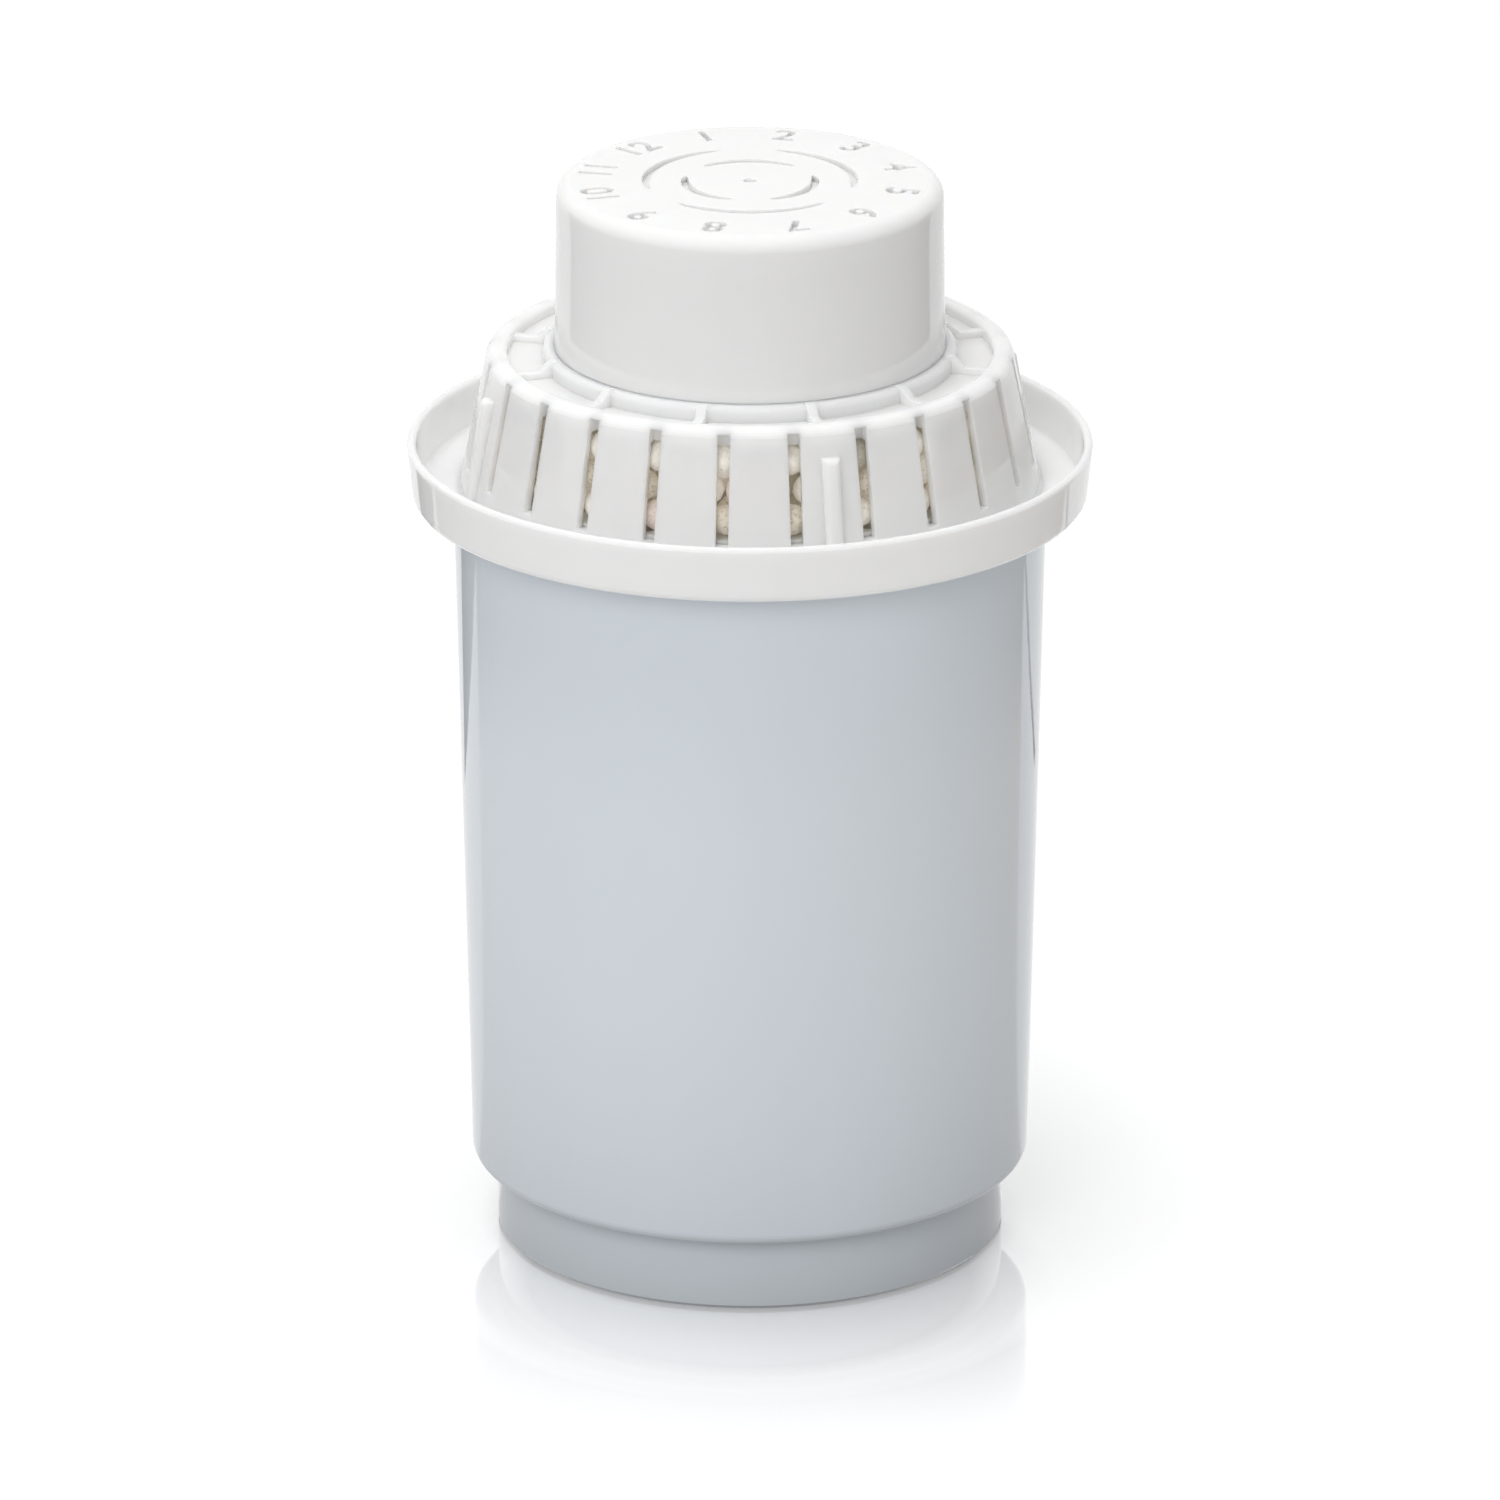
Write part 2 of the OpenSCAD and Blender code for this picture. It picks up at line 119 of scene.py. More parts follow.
class BeadSettings(bpy.types.PropertyGroup):
    """Bead that closes the gap between the crown's foot and the collar"""

    foot_radius: FloatProperty(
        name="Foot radius", description="Radius of the crown's side where it meets the collar",
        subtype="DISTANCE", unit="LENGTH", min=0.02, max=0.03, default=0.02558)
    collar_top: FloatProperty(
        name="Collar top", description="Height of the collar's top above the floor",
        subtype="DISTANCE", unit="LENGTH", min=0.1, max=0.14, default=0.1229)
    proud: FloatProperty(
        name="Proud", description="How far the bead stands out from the crown's side",
        subtype="DISTANCE", unit="LENGTH", min=0, max=0.0001, default=0.000075)
    height: FloatProperty(
        name="Height", description="Height of the bead, half of it above the collar's top",
        subtype="DISTANCE", unit="LENGTH", min=0.0002, max=0.002, default=0.0006)


class BallSettings(bpy.types.PropertyGroup):
    """Look of the mineral balls"""

    swell: FloatProperty(
        name="Unevenness", description="How far a ball's surface strays from a sphere, in and out together",
        subtype="DISTANCE", unit="LENGTH", min=0, max=0.002, default=0.0013)
    seed: IntProperty(name="Seed", description="Draw of the balls' turns and unevenness", min=0, default=3)


class StudioSettings(bpy.types.PropertyGroup):
    """Camera, lamps and floor"""

    camera_back: FloatProperty(
        name="Camera distance", description="Level distance from the cartridge's axis to the camera",
        subtype="DISTANCE", unit="LENGTH", min=0.3, max=5, default=1.59945)
    camera_up: FloatProperty(
        name="Camera height", description="Height of the camera above the floor",
        subtype="DISTANCE", unit="LENGTH", min=0, max=3, default=0.64798)
    camera_turn: FloatProperty(
        name="Camera turn", description="How far the camera stands round from the front key rib",
        subtype="ANGLE", unit="ROTATION", min=-math.pi, max=math.pi, default=math.radians(16.9))
    camera_pitch: FloatProperty(
        name="Camera pitch", description="How far the camera looks down",
        subtype="ANGLE", unit="ROTATION", min=0, max=math.pi / 2, default=math.radians(19.991))
    lens: FloatProperty(
        name="Lens", description="Focal length on a 36 mm sensor, in millimetres",
        subtype="DISTANCE_CAMERA", unit="CAMERA", min=20, max=900, default=308.6)
    floor_size: FloatProperty(
        name="Floor size", description="Side of the floor",
        subtype="DISTANCE", unit="LENGTH", min=1, max=20, default=8)
    sky_strength: FloatProperty(
        name="Sky strength", description="Light from the white surroundings", min=0, max=2, default=0.64)
    top_power: FloatProperty(
        name="Overhead power", description="Power of the large lamp overhead",
        subtype="POWER", unit="POWER", min=0, max=100, default=5.35)
    key_power: FloatProperty(
        name="Key power", description="Power of the lamp in front, left of the camera",
        subtype="POWER", unit="POWER", min=0, max=100, default=5.4)


# Node trees

def make_node(tree, kind, **inputs):
    """Adds a node and sets its settings and inputs by name, with underscores for spaces."""
    node = tree.nodes.new(kind)
    for name, value in inputs.items():
        if hasattr(node, name):
            setattr(node, name, value)
        else:
            node.inputs[name.replace("_", " ")].default_value = value
    return node


def new_material(name):
    """An empty material with a Principled shader, as (material, tree, shader)."""
    material = bpy.data.materials.new(name)
    material.use_nodes = True
    tree = material.node_tree
    tree.nodes.clear()
    shader = tree.nodes.new("ShaderNodeBsdfPrincipled")
    output = tree.nodes.new("ShaderNodeOutputMaterial")
    tree.links.new(shader.outputs["BSDF"], output.inputs["Surface"])
    return material, tree, shader


def place_noise(tree, scale, detail=2.0, roughness=0.5, stretch=(1, 1, 1)):
    """Noise fixed to the piece's own place, scale in waves per metre."""
    place = tree.nodes.new("ShaderNodeTexCoord")
    mapping = make_node(tree, "ShaderNodeMapping", Scale=stretch)
    noise = make_node(tree, "ShaderNodeTexNoise", Scale=scale, Detail=detail, Roughness=roughness)
    tree.links.new(place.outputs["Object"], mapping.inputs["Vector"])
    tree.links.new(mapping.outputs["Vector"], noise.inputs["Vector"])
    return noise.outputs["Fac"]


def ramp_colour(tree, factor, stops):
    """Colour ramp over a factor; stops are (position, colour)."""
    ramp = tree.nodes.new("ShaderNodeValToRGB")
    elements = ramp.color_ramp.elements
    while len(elements) < len(stops):
        elements.new(0.5)
    for element, (position, colour) in zip(elements, stops):
        element.position = position
        element.color = (*colour, 1)
    tree.links.new(factor, ramp.inputs["Fac"])
    return ramp.outputs["Color"]


def ramp_value(tree, factor, low, high, at=(0.3, 0.7)):
    """Maps a factor onto a span of values."""
    span = make_node(tree, "ShaderNodeMapRange", From_Min=at[0], From_Max=at[1], To_Min=low, To_Max=high)
    tree.links.new(factor, span.inputs["Value"])
    return span.outputs["Result"]


def mix_colours(tree, factor, first, second, blend="MIX"):
    """Blends a fixed second colour into the first by a factor."""
    mix = make_node(tree, "ShaderNodeMix", data_type="RGBA", blend_type=blend)
    sockets = {socket.name: socket for socket in mix.inputs if socket.type == "RGBA"}
    sockets["B"].default_value = (*second, 1)
    tree.links.new(first, sockets["A"])
    tree.links.new(factor, mix.inputs[0])
    return [socket for socket in mix.outputs if socket.type == "RGBA"][0]


def math_node(tree, kind, first, second=None, third=None):
    """A Math node over numbers and sockets."""
    node = make_node(tree, "ShaderNodeMath", operation=kind)
    for socket, value in zip(node.inputs, (first, second, third)):
        if isinstance(value, (int, float)):
            socket.default_value = value
        elif value is not None:
            tree.links.new(value, socket)
    return node.outputs[0]


def product(tree, *factors):
    """The product of two or more sockets."""
    result = factors[0]
    for factor in factors[1:]:
        result = math_node(tree, "MULTIPLY", result, factor)
    return result


def length_of(tree, first, second):
    """Length of a level line from its two sides."""
    squares = [math_node(tree, "MULTIPLY", side, side) for side in (first, second)]
    return math_node(tree, "SQRT", math_node(tree, "ADD", *squares))


def mix_shaders(tree, factor, first, second):
    """The first shader where the factor is 0 and the second where it is 1."""
    mix = tree.nodes.new("ShaderNodeMixShader")
    for value, socket in zip((factor, first, second), mix.inputs):
        tree.links.new(value, socket)
    return mix.outputs["Shader"]


def add_bump(tree, shader, height, distance, strength=1.0):
    """Bump from a height, its full depth given in metres."""
    bump = make_node(tree, "ShaderNodeBump", Strength=strength, Distance=distance)
    tree.links.new(height, bump.inputs["Height"])
    tree.links.new(bump.outputs["Normal"], shader.inputs["Normal"])


def shade(colour, factor):
    """The colour made lighter or darker by a factor."""
    return tuple(min(1, c * factor) for c in colour)


def moulded_plastic(name, colour, roughness, depth=0.0):
    """Moulded plastic: faint flow in its colour, uneven gloss and a slight orange peel.

    With a depth in metres, light spreads that far below its surface, as in thin white mouldings.
    """
    material, tree, shader = new_material(name)
    flow = place_noise(tree, 45, 3, 0.55, (1, 1, 0.35))
    tones = ramp_colour(tree, flow, [(0.3, shade(colour, 0.985)), (0.7, shade(colour, 1.01))])
    tree.links.new(tones, shader.inputs["Base Color"])
    patch = place_noise(tree, 160, 3)
    tree.links.new(ramp_value(tree, patch, roughness * 0.85, roughness * 1.2), shader.inputs["Roughness"])
    shader.inputs["IOR"].default_value = 1.49
    if depth:
        shader.inputs["Subsurface Weight"].default_value = 1.0
        shader.inputs["Subsurface Radius"].default_value = (1.0, 0.96, 0.9)
        shader.inputs["Subsurface Scale"].default_value = depth
    add_bump(tree, shader, place_noise(tree, 700, 2), 0.02 * MM, 0.25)
    return material


def paint_shade_in_sunk_floors(material, flat_radius, top, sunk):
    """Darkens a crown's sunk floors: what lies inside its flat top and at least so far below it."""
    tree = material.node_tree
    shader = [node for node in tree.nodes if node.type == "BSDF_PRINCIPLED"][0]
    place = tree.nodes.new("ShaderNodeTexCoord")
    parts = tree.nodes.new("ShaderNodeSeparateXYZ")
    tree.links.new(place.outputs["Object"], parts.inputs["Vector"])
    x, y, z = parts.outputs
    deep = ramp_value(tree, z, 1.0, 0.0, (top - sunk, top - sunk / 2))
    outer_face = ramp_value(tree, z, 0.0, 1.0, (top - 2.5 * sunk, top - 2 * sunk))
    inside = ramp_value(tree, length_of(tree, x, y), 1.0, 0.0, (flat_radius - 0.1 * MM, flat_radius))
    colour = shader.inputs["Base Color"].links[0].from_socket
    # Painted shade: the floors of the sunk numbers and grooves inside the flat top are darkened in the
    # colour
    painted_shade_mask = product(tree, deep, inside, outer_face)
    darker = mix_colours(tree, painted_shade_mask, colour, (SUNK_SHADE_SHARE,) * 3, "MULTIPLY")
    tree.links.new(darker, shader.inputs["Base Color"])
    return material


def mineral(name, colour, fleck, fleck_share, glow=0.17):
    """Dull fired mineral with flecks and a pitted skin; its glow stands for light through the cage."""
    material, tree, shader = new_material(name)
    cloud = place_noise(tree, 380, 4, 0.6)
    grain = place_noise(tree, 2600, 3, 0.7)
    base = ramp_colour(tree, cloud, [(0.3, shade(colour, 0.86)), (0.7, shade(colour, 1.12))])
    mask = ramp_value(tree, grain, 0.0, 1.0, (1 - fleck_share - 0.12, 1 - fleck_share))
    result = mix_colours(tree, mask, base, fleck)
    tree.links.new(result, shader.inputs["Base Color"])
    tree.links.new(result, shader.inputs["Emission Color"])
    shader.inputs["Emission Strength"].default_value = glow
    tree.links.new(ramp_value(tree, grain, 0.7, 0.95), shader.inputs["Roughness"])
    add_bump(tree, shader, grain, 0.12 * MM, 0.8)
    return material


def felt(name, colour):
    """Needled felt: matted fibres in colour, height and sheen."""
    material, tree, shader = new_material(name)
    fibre = place_noise(tree, 1500, 5, 0.8, (1, 1, 0.3))
    tones = ramp_colour(tree, fibre, [(0.3, shade(colour, 0.8)), (0.65, colour)])
    tree.links.new(tones, shader.inputs["Base Color"])
    shader.inputs["Roughness"].default_value = 0.95
    shader.inputs["Sheen Weight"].default_value = 0.3
    add_bump(tree, shader, fibre, 0.2 * MM)
    return material


def granules(name, colour, grain_mm, roughness, spread):
    """A bed of packed grains, each a cell of its own tone and height."""
    material, tree, shader = new_material(name)
    place = tree.nodes.new("ShaderNodeTexCoord")
    cells = make_node(tree, "ShaderNodeTexVoronoi", Scale=1 / (grain_mm * MM))
    tree.links.new(place.outputs["Object"], cells.inputs["Vector"])
    tone = tree.nodes.new("ShaderNodeSeparateColor")
    tree.links.new(cells.outputs["Color"], tone.inputs["Color"])
    stops = [(0.0, shade(colour, 1 - spread)), (1.0, shade(colour, 1 + spread))]
    tree.links.new(ramp_colour(tree, tone.outputs[0], stops), shader.inputs["Base Color"])
    shader.inputs["Roughness"].default_value = roughness
    dome = ramp_value(tree, cells.outputs["Distance"], 1.0, 0.0, (0.0, 0.6))
    add_bump(tree, shader, dome, 0.5 * grain_mm * MM)
    return material


# Meshes

def add_object(name, data):
    """A new object in the scene."""
    thing = bpy.data.objects.new(name, data)
    bpy.context.scene.collection.objects.link(thing)
    return thing


def mesh_object(name, edit):
    """Turns an edited mesh into a new object with its faces outwards."""
    bmesh.ops.recalc_face_normals(edit, faces=edit.faces)
    mesh = bpy.data.meshes.new(name)
    edit.to_mesh(mesh)
    edit.free()
    return add_object(name, mesh)


def join_close(mesh):
    """Joins the corners that lie on each other, so that the surface has no seams."""
    edit = bmesh.new()
    edit.from_mesh(mesh)
    bmesh.ops.remove_doubles(edit, verts=edit.verts, dist=MERGE_DISTANCE)
    edit.to_mesh(mesh)
    edit.free()


def merged_copy(node, name):
    """A copy of a solid's mesh with its loose triangles joined, as a new object."""
    copy = add_object(name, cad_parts[node].data.copy())
    copy.data.materials.clear()
    join_close(copy.data)
    if copy.data.has_custom_normals:
        copy.data.attributes.remove(copy.data.attributes["custom_normal"])
    return copy


def smooth(mesh, angle=30):
    """Smooth shading that keeps edges sharper than the angle."""
    mesh.polygons.foreach_set("use_smooth", [True] * len(mesh.polygons))
    mesh.set_sharp_from_angle(angle=math.radians(angle))


def baked(source, name):
    """The evaluated object as a plain mesh object of its own; the source is removed."""
    graph = bpy.context.evaluated_depsgraph_get()
    mesh = bpy.data.meshes.new_from_object(source.evaluated_get(graph), depsgraph=graph)
    piece = add_object(name, mesh)
    bpy.data.objects.remove(source)
    return piece


def paint(node, material):
    """Gives a solid its finish."""
    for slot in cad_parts[node].material_slots:
        slot.material = material


# Pieces

class CARTRIDGE_OT_casing(bpy.types.Operator):
    """Finish the shell, the cage and the tray"""

    bl_idname = "cartridge.casing"
    bl_label = "Casing"

    def execute(self, context):
        look = context.scene.cartridge_casing
        gloss, white = look.gloss_roughness, shade(look.white_colour, WHITE_SHARE)
        paint("body_shell", moulded_plastic("shell_blue_gloss", look.shell_colour, gloss))
        paint("inlet_cage", moulded_plastic("white_gloss", white, gloss, CAGE_GLOW_DEPTH))
        paint("ball_tray", moulded_plastic("tray_satin", look.tray_colour, 0.45))
        return {"FINISHED"}


def numeral_cutter(sizes, top):
    """The ring of numbers as closed solids that reach down to their depth, their tops outwards."""
    parts = bmesh.new()
    for index in range(sizes.count):
        words = bpy.data.curves.new("numeral", "FONT")
        words.body = str(index + 1)
        words.size = sizes.height
        words.align_x = "CENTER"
        words.align_y = "CENTER"
        words.extrude = sizes.depth
        words.resolution_u = 4
        text = baked(add_object("numeral", words), "numeral")
        turn = Matrix.Rotation(-2 * math.pi * index / sizes.count, 4, "Z")
        text.data.transform(turn @ Matrix.Translation((0, sizes.radius, top)))
        for x, y in ((-1, -1), (1, -1), (1, 1), (-1, 1)):
            spread = Matrix.Translation((x * sizes.weight, y * sizes.weight, 0))
            text.data.transform(spread)
            parts.from_mesh(text.data)
            text.data.transform(spread.inverted())
        bpy.data.objects.remove(text)
    bmesh.ops.remove_doubles(parts, verts=parts.verts, dist=MERGE_DISTANCE)
    return mesh_object("numeral_cutter", parts)


def bead_ring(sizes):
    """A ring sunk into the crown's wall, its outer edge bevelled towards the top."""
    turns, sink = 180, 0.3 * MM
    inner, outer = sizes.foot_radius - sink, sizes.foot_radius + sizes.proud
    low, high = sizes.collar_top - sizes.height / 2, sizes.collar_top + sizes.height / 2
    profile = [(inner, low), (outer, low), (outer, sizes.collar_top), (inner, high)]
    edit = bmesh.new()
    rings = []
    for k in range(turns):
        x, y = math.cos(math.tau * k / turns), math.sin(math.tau * k / turns)
        rings.append([edit.verts.new((r * x, r * y, z)) for r, z in profile])
    for k in range(turns):
        here, there = rings[k], rings[(k + 1) % turns]
        for j in range(len(profile)):
            other = (j + 1) % len(profile)
            edit.faces.new((here[j], there[j], there[other], here[other]))
    return mesh_object("bead_ring", edit)


def combine(piece, other, operation):
    """Adds a Boolean with the other object to a piece."""
    modifier = piece.modifiers.new(operation.lower(), "BOOLEAN")
    modifier.operation = operation
    modifier.solver = "EXACT"
    modifier.object = other
    modifier.use_self = True


class CARTRIDGE_OT_crown(bpy.types.Operator):
    """Sink the ring of numbers into the crown and close the gap round its foot"""

    bl_idname = "cartridge.crown"
    bl_label = "Crown"

    def execute(self, context):
        sizes = context.scene.cartridge_numerals
        look = context.scene.cartridge_casing
        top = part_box("crown_cap")[1].z
        crown = merged_copy("crown_cap", "crown_with_numbers")
        cutter = numeral_cutter(sizes, top)
        ring = bead_ring(context.scene.cartridge_bead)
        combine(crown, ring, "UNION")
        combine(crown, cutter, "DIFFERENCE")
        crown = baked(crown, "crown_numbered")
        bpy.data.objects.remove(cutter)
        bpy.data.objects.remove(ring)
        join_close(crown.data)
        smooth(crown.data)
        crown.data.materials.clear()
        white = shade(look.white_colour, WHITE_SHARE)
        finish = moulded_plastic("crown_gloss", white, look.gloss_roughness, CROWN_GLOW_DEPTH)
        flat_radius = sizes.radius + sizes.height / 2
        crown.data.materials.append(paint_shade_in_sunk_floors(finish, flat_radius, top, sizes.depth / 2))
        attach(crown, "root")
        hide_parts("crown_cap")
        return {"FINISHED"}


# Middle of the noise that moves a ball's surface in and out
NOISE_MIDDLE = 0.45
# Colour, colour of the flecks, and the flecks' share of the surface
BALL_KINDS = {
    "cream": ((0.84, 0.8, 0.72), (0.58, 0.51, 0.4), 0.3),
    "tan": ((0.7, 0.64, 0.54), (0.43, 0.37, 0.29), 0.35),
    "pink": ((0.75, 0.65, 0.59), (0.5, 0.41, 0.36), 0.3),
    "grey": ((0.46, 0.43, 0.35), (0.7, 0.66, 0.55), 0.3),
    "green": ((0.57, 0.58, 0.46), (0.32, 0.33, 0.24), 0.35),
}


def ball_centres(node):
    """Middle of each ball in a node, and the balls' radius."""
    edit = bmesh.new()
    edit.from_mesh(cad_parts[node].data)
    bmesh.ops.remove_doubles(edit, verts=edit.verts, dist=MERGE_DISTANCE)
    centres, radius, seen = [], 0.0, set()
    for start in edit.verts:
        if start in seen:
            continue
        seen.add(start)
        island, front = [start], [start]
        while front:
            for edge in front.pop().link_edges:
                for vert in edge.verts:
                    if vert not in seen:
                        seen.add(vert)
                        island.append(vert)
                        front.append(vert)
        low = Vector([min(v.co[k] for v in island) for k in range(3)])
        high = Vector([max(v.co[k] for v in island) for k in range(3)])
        centres.append((low + high) / 2)
        radius = max(radius, (high.z - low.z) / 2)
    edit.free()
    return centres, radius


def ball_tree(material):
    """Geometry Nodes group that sets an uneven ball on each point."""
    tree = bpy.data.node_groups.new("Mineral balls", "GeometryNodeTree")
    kinds = {"Geometry": "Geometry", "Radius": "Float", "Unevenness": "Float", "Seed": "Int"}
    for name, kind in kinds.items():
        tree.interface.new_socket(name, in_out="INPUT", socket_type=f"NodeSocket{kind}")
    tree.interface.new_socket("Geometry", in_out="OUTPUT", socket_type="NodeSocketGeometry")
    group_in = tree.nodes.new("NodeGroupInput")
    group_out = tree.nodes.new("NodeGroupOutput")
    ball = make_node(tree, "GeometryNodeMeshIcoSphere", Subdivisions=2)
    points = tree.nodes.new("GeometryNodeMeshToPoints")
    instances = tree.nodes.new("GeometryNodeInstanceOnPoints")
    turn = make_node(tree, "FunctionNodeRandomValue", data_type="FLOAT_VECTOR")
    turn.inputs[1].default_value = (math.tau, math.tau, math.tau)
    realize = tree.nodes.new("GeometryNodeRealizeInstances")
    noise = make_node(tree, "ShaderNodeTexNoise", Scale=420.0, Detail=2.0)
    centred = math_node(tree, "SUBTRACT", noise.outputs["Fac"], NOISE_MIDDLE)
    stray = product(tree, centred, group_in.outputs["Unevenness"])
    scale = make_node(tree, "ShaderNodeVectorMath", operation="SCALE")
    normal = tree.nodes.new("GeometryNodeInputNormal")
    move = tree.nodes.new("GeometryNodeSetPosition")
    finish = tree.nodes.new("GeometryNodeSetMaterial")
    finish.inputs["Material"].default_value = material
    shade_smooth = tree.nodes.new("GeometryNodeSetShadeSmooth")
    link = tree.links.new
    link(group_in.outputs["Geometry"], points.inputs["Mesh"])
    link(points.outputs["Points"], instances.inputs["Points"])
    link(group_in.outputs["Radius"], ball.inputs["Radius"])
    link(ball.outputs["Mesh"], instances.inputs["Instance"])
    link(group_in.outputs["Seed"], turn.inputs["Seed"])
    link(turn.outputs["Value"], instances.inputs["Rotation"])
    link(normal.outputs["Normal"], scale.inputs[0])
    link(stray, scale.inputs["Scale"])
    link(instances.outputs["Instances"], realize.inputs["Geometry"])
    link(realize.outputs["Geometry"], move.inputs["Geometry"])
    link(scale.outputs["Vector"], move.inputs["Offset"])
    link(move.outputs["Geometry"], shade_smooth.inputs["Geometry"])
    link(shade_smooth.outputs["Geometry"], finish.inputs["Geometry"])
    link(finish.outputs["Geometry"], group_out.inputs["Geometry"])
    return tree


def set_inputs(modifier, values):
    """Sets a Geometry Nodes modifier's inputs, named here, through the sockets' identifiers."""
    for item in modifier.node_group.interface.items_tree:
        if item.item_type == "SOCKET" and item.in_out == "INPUT" and item.name in values:
            modifier[item.identifier] = values[item.name]


class CARTRIDGE_OT_balls(bpy.types.Operator):
    """Set an uneven mineral ball in the place of each true sphere"""

    bl_idname = "cartridge.balls"
    bl_label = "Mineral balls"

    def execute(self, context):
        look = context.scene.cartridge_balls
        for order, (kind, (colour, fleck, share)) in enumerate(BALL_KINDS.items()):
            centres, radius = ball_centres(f"{kind}_balls")
            mesh = bpy.data.meshes.new("ball_places")
            mesh.from_pydata(centres, [], [])
            holder = add_object("ball_places", mesh)
            modifier = holder.modifiers.new("balls", "NODES")
            modifier.node_group = ball_tree(mineral(f"{kind}_mineral", colour, fleck, share))
            set_inputs(modifier, {"Radius": radius, "Unevenness": look.swell, "Seed": look.seed + order})
            holder.update_tag()
            context.view_layer.update()
            piece = baked(holder, f"{kind}_mineral_balls")
            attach(piece, "root")
            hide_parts(f"{kind}_balls")
        return {"FINISHED"}


class CARTRIDGE_OT_filling(bpy.types.Operator):
    """Finish the felts, the beds and the outlet mesh"""

    bl_idname = "cartridge.filling"
    bl_label = "Filling"

    def execute(self, context):
        pad = felt("needled_felt", (0.78, 0.78, 0.74))
        for node in ("upper_felt", "middle_felt", "outlet_felt"):
            paint(node, pad)
        paint("carbon_bed", granules("carbon_granules", (0.022, 0.022, 0.024), 1.2, 0.75, 0.5))
        paint("resin_bed", granules("resin_beads", (0.55, 0.3, 0.07), 0.8, 0.4, 0.3))
        paint("outlet_mesh", felt("outlet_mesh_cloth", (0.8, 0.82, 0.83)))
        return {"FINISHED"}


# Studio

# Reach from the cartridge's axis where the floor starts to change, just outside the spigot
FLOOR_START = 36 * MM
# Share of the sky's strength at the camera's left and right
SKY_LEFT, SKY_RIGHT = 1.02, 0.72
# Place and side of the lamp overhead
OVERHEAD_PLACE, OVERHEAD_SIDE = (-0.1, 0, 1.2), 0.6
# Level distance, height and side of the key lamp, and how far left of the camera it stands
KEY_BACK, KEY_UP, KEY_SIDE, KEY_TURN = 1.3, 0.88, 0.7, math.radians(16)


def along(tree, place, direction):
    """How far a place lies in a direction."""
    dot = make_node(tree, "ShaderNodeVectorMath", operation="DOT_PRODUCT")
    tree.links.new(place, dot.inputs[0])
    dot.inputs[1].default_value = direction
    return dot.outputs["Value"]


def seen_floor(tree, shader, near, right, reach):
    """White that keeps the shadow, under a mirror image that fades out away from the foot."""
    shader.inputs["Roughness"].default_value = 0.6
    shader.inputs["Specular IOR Level"].default_value = 0.0
    shader.inputs["Base Color"].default_value = WHITE
    shader.inputs["Emission Color"].default_value = WHITE
    shader.inputs["Emission Strength"].default_value = 0.18
    gloss = make_node(tree, "ShaderNodeBsdfGlossy", Roughness=0.02, Color=WHITE)
    fading = ramp_value(tree, reach, 0.5, 0.22, (FLOOR_START, 0.086))

    # The mirror image of the shell's undercut would show as a dark ring, so it is held back
    ring_middle, ring_radius = 0.024, 0.0352
    ring_reach = length_of(tree, math_node(tree, "SUBTRACT", near, ring_middle), right)
    off_ring = math_node(tree, "ABSOLUTE", math_node(tree, "SUBTRACT", ring_reach, ring_radius))
    share = product(tree, fading, ramp_value(tree, off_ring, 0.6, 1.0, (0.002, 0.006)))
    return mix_shaders(tree, share, shader.outputs["BSDF"], gloss.outputs["BSDF"])


def painted_reflection_floor(tree, near, right, reach):
    """What the casing mirrors: white behind, dim at the sides, and dark past the sheet's far edge."""
    side = math_node(tree, "ABSOLUTE", right)
    slant = math_node(tree, "MULTIPLY_ADD", near, 1.07, side)
    behind = ramp_value(tree, slant, 1.0, 0.0, (0.027, 0.039))
    close = ramp_value(tree, reach, 0.75, 0.0, (0.2, 0.3))
    level = math_node(tree, "MAXIMUM", ramp_value(tree, behind, 0.3, 1.0, (0, 1)), close)

    # Painted dark reflection far behind, as a wedge on the left and as a thin line on the right
    beyond = math_node(tree, "MULTIPLY_ADD", side, 0.16, near)
    far_band = math_node(tree, "LESS_THAN", beyond, -0.143)
    wedge = product(
        tree,
        math_node(tree, "GREATER_THAN", math_node(tree, "MULTIPLY_ADD", near, 0.79, side), -0.037),
        math_node(tree, "LESS_THAN", right, 0.0),
        math_node(tree, "LESS_THAN", reach, 0.3))
    line = product(
        tree,
        math_node(tree, "GREATER_THAN", beyond, -0.151),
        math_node(tree, "GREATER_THAN", right, 0.1))
    dark = product(tree, far_band, math_node(tree, "MAXIMUM", line, wedge))
    tone = product(tree, level, math_node(tree, "MULTIPLY_ADD", dark, -0.85, 1.0))

    # Painted warm reflection towards the camera's right
    warm_reflection_mask = product(
        tree,
        ramp_value(tree, right, 0.0, 1.0, (0.0, 0.1)),
        ramp_value(tree, behind, 1.0, 0.0, (0, 1)),
        ramp_value(tree, reach, 0.2, 1.0, (0.08, 0.32)))
    painted_reflection = tree.nodes.new("ShaderNodeEmission")
    tints = ramp_colour(tree, warm_reflection_mask, [(0.0, (1, 1, 1)), (1.0, (1, 0.78, 0.5))])
    tree.links.new(tints, painted_reflection.inputs["Color"])
    tree.links.new(tone, painted_reflection.inputs["Strength"])
    return painted_reflection.outputs["Emission"]


def lit_floor(tree, reach):
    """Grey that gives back part of the light, and less of it close to the foot."""
    bounce = tree.nodes.new("ShaderNodeBsdfDiffuse")
    # Painted shade: the floor's bounce is darker close to the foot
    away = ramp_value(tree, reach, 0.0, 1.0, (FLOOR_START, 0.1))
    painted_shade_greys = ramp_colour(tree, away, [(0.0, (0.2, 0.2, 0.2)), (1.0, (0.7, 0.7, 0.7))])
    tree.links.new(painted_shade_greys, bounce.inputs["Color"])
    return bounce.outputs["BSDF"]


